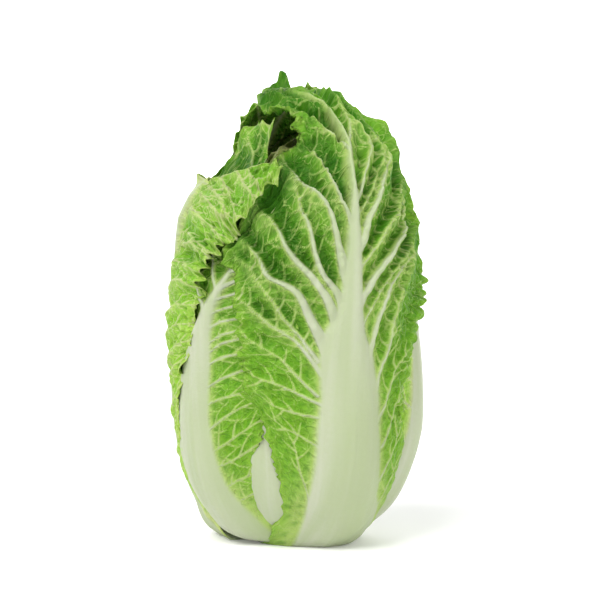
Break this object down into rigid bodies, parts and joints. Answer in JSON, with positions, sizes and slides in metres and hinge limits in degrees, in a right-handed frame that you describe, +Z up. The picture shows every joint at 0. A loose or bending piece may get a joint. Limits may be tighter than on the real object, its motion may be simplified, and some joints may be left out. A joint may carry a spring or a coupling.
{
  "type": "napa cabbage",
  "caption": "Whole napa cabbage head: overlapping crinkled leaves with broad pale ribs round a short stem, standing on its trimmed base.",
  "frame": {"origin": "middle of the stem's cut face, which the head stands on", "axes": "+Z up the head from its trimmed base to its crown; the broad front leaf faces -Y and the crown leans a little towards +X"},
  "size_m": [0.1573, 0.1546, 0.2819],
  "materials": {
    "outer_leaf": "satin",
    "inner_leaf": "satin",
    "stem": "matte",
    "heart": "satin"
  },
  "bodies": {
    "root": {"stem": "stem", "heart_bud": "heart", "outer_leaf_left": "outer_leaf", "outer_leaf_front": "outer_leaf", "outer_leaf_back": "outer_leaf", "outer_leaf_front_left": "outer_leaf", "outer_leaf_right": "outer_leaf", "outer_leaf_back_left": "outer_leaf", "outer_leaf_middle": "outer_leaf", "outer_leaf_back_right": "outer_leaf", "inner_leaf_01": "inner_leaf", "inner_leaf_02": "inner_leaf", "inner_leaf_03": "inner_leaf", "inner_leaf_04": "inner_leaf", "inner_leaf_05": "inner_leaf", "inner_leaf_06": "inner_leaf", "inner_leaf_07": "inner_leaf", "inner_leaf_08": "inner_leaf", "inner_leaf_09": "inner_leaf", "inner_leaf_10": "inner_leaf", "inner_leaf_11": "inner_leaf", "inner_leaf_12": "inner_leaf"}
  },
  "joints": []
}
